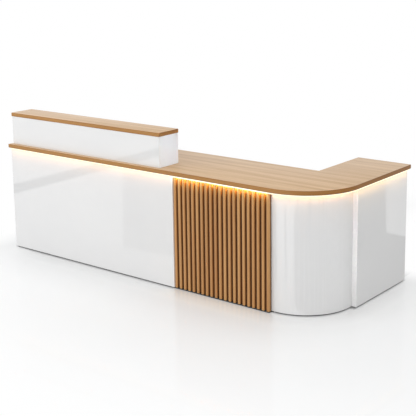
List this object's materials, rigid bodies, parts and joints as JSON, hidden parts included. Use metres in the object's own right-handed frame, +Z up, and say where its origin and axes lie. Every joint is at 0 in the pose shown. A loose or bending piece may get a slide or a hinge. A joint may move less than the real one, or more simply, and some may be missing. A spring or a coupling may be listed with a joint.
{
  "type": "reception desk",
  "caption": "L-shaped reception desk with a rounded corner: oak counter and raised ledge, gloss white panels, oak slats, a light strip under the edge, drawers and a cupboard.",
  "frame": {"origin": "on the floor, under the middle of the desk's overall plan rectangle", "axes": "+X along the visitor side towards the rounded corner, +Y from visitor to staff, +Z up"},
  "size_m": [2.94, 1.14, 1.1],
  "materials": {
    "oak_top": "satin lacquered light oak veneer",
    "oak_slat": "satin oiled oak",
    "dark_backing": "matt dark stained board",
    "white_gloss": "high-gloss white lacquer on board",
    "white_board": "satin white faced board",
    "dark_plinth": "matt dark grey strip",
    "aluminium": "satin anodised",
    "steel": "brushed",
    "opal_lens": "opal, lit warm white",
    "driver_case": "matt light grey"
  },
  "bodies": {
    "desk": {"worktop": "oak_top", "ledge_cap": "oak_top", "slat_01": "oak_slat", "slat_02": "oak_slat", "slat_03": "oak_slat", "slat_04": "oak_slat", "slat_05": "oak_slat", "slat_06": "oak_slat", "slat_07": "oak_slat", "slat_08": "oak_slat", "slat_09": "oak_slat", "slat_10": "oak_slat", "slat_11": "oak_slat", "slat_12": "oak_slat", "slat_13": "oak_slat", "slat_14": "oak_slat", "slat_15": "oak_slat", "slat_16": "oak_slat", "slat_17": "oak_slat", "slat_18": "oak_slat", "slat_19": "oak_slat", "slat_20": "oak_slat", "slat_21": "oak_slat", "slat_backing": "dark_backing", "front_panel": "white_gloss", "left_end_panel": "white_gloss", "corner_panel": "white_gloss", "return_panel": "white_gloss", "return_end_panel": "white_gloss", "ledge_front_panel": "white_gloss", "ledge_left_end": "white_gloss", "ledge_divider": "white_gloss", "ledge_right_end": "white_gloss", "pedestal_left_side": "white_board", "pedestal_right_side": "white_board", "pedestal_base": "white_board", "cupboard_side": "white_board", "cupboard_base": "white_board", "cupboard_shelf": "white_board", "plinth_front": "dark_plinth", "plinth_left": "dark_plinth", "plinth_corner": "dark_plinth", "plinth_return": "dark_plinth", "light_channel": "aluminium", "drawer_upper_runner_left": "steel", "drawer_upper_runner_right": "steel", "drawer_lower_runner_left": "steel", "drawer_lower_runner_right": "steel", "door_pivot_lower": "steel", "door_pivot_upper": "steel", "light_lens": "opal_lens", "light_driver": "driver_case"},
    "drawer_upper": {"drawer_upper_front": "white_board", "drawer_upper_box": "white_board", "drawer_upper_pull": "steel"},
    "drawer_lower": {"drawer_lower_front": "white_board", "drawer_lower_box": "white_board", "drawer_lower_pull": "steel"},
    "door": {"cupboard_door": "white_board", "cupboard_door_pull": "steel"}
  },
  "joints": [
    {"name": "drawer_upper_slide", "type": "slide", "parent": "desk", "child": "drawer_upper", "axis": [0, 1, 0], "range_m": [0, 0.42]},
    {"name": "drawer_lower_slide", "type": "slide", "parent": "desk", "child": "drawer_lower", "axis": [0, 1, 0], "range_m": [0, 0.42]},
    {"name": "door_hinge", "type": "hinge", "parent": "desk", "child": "door", "pos_m": [1.079, 0.5202, 0.42485], "axis": [0, 0, -1], "range_deg": [0, 95]}
  ]
}
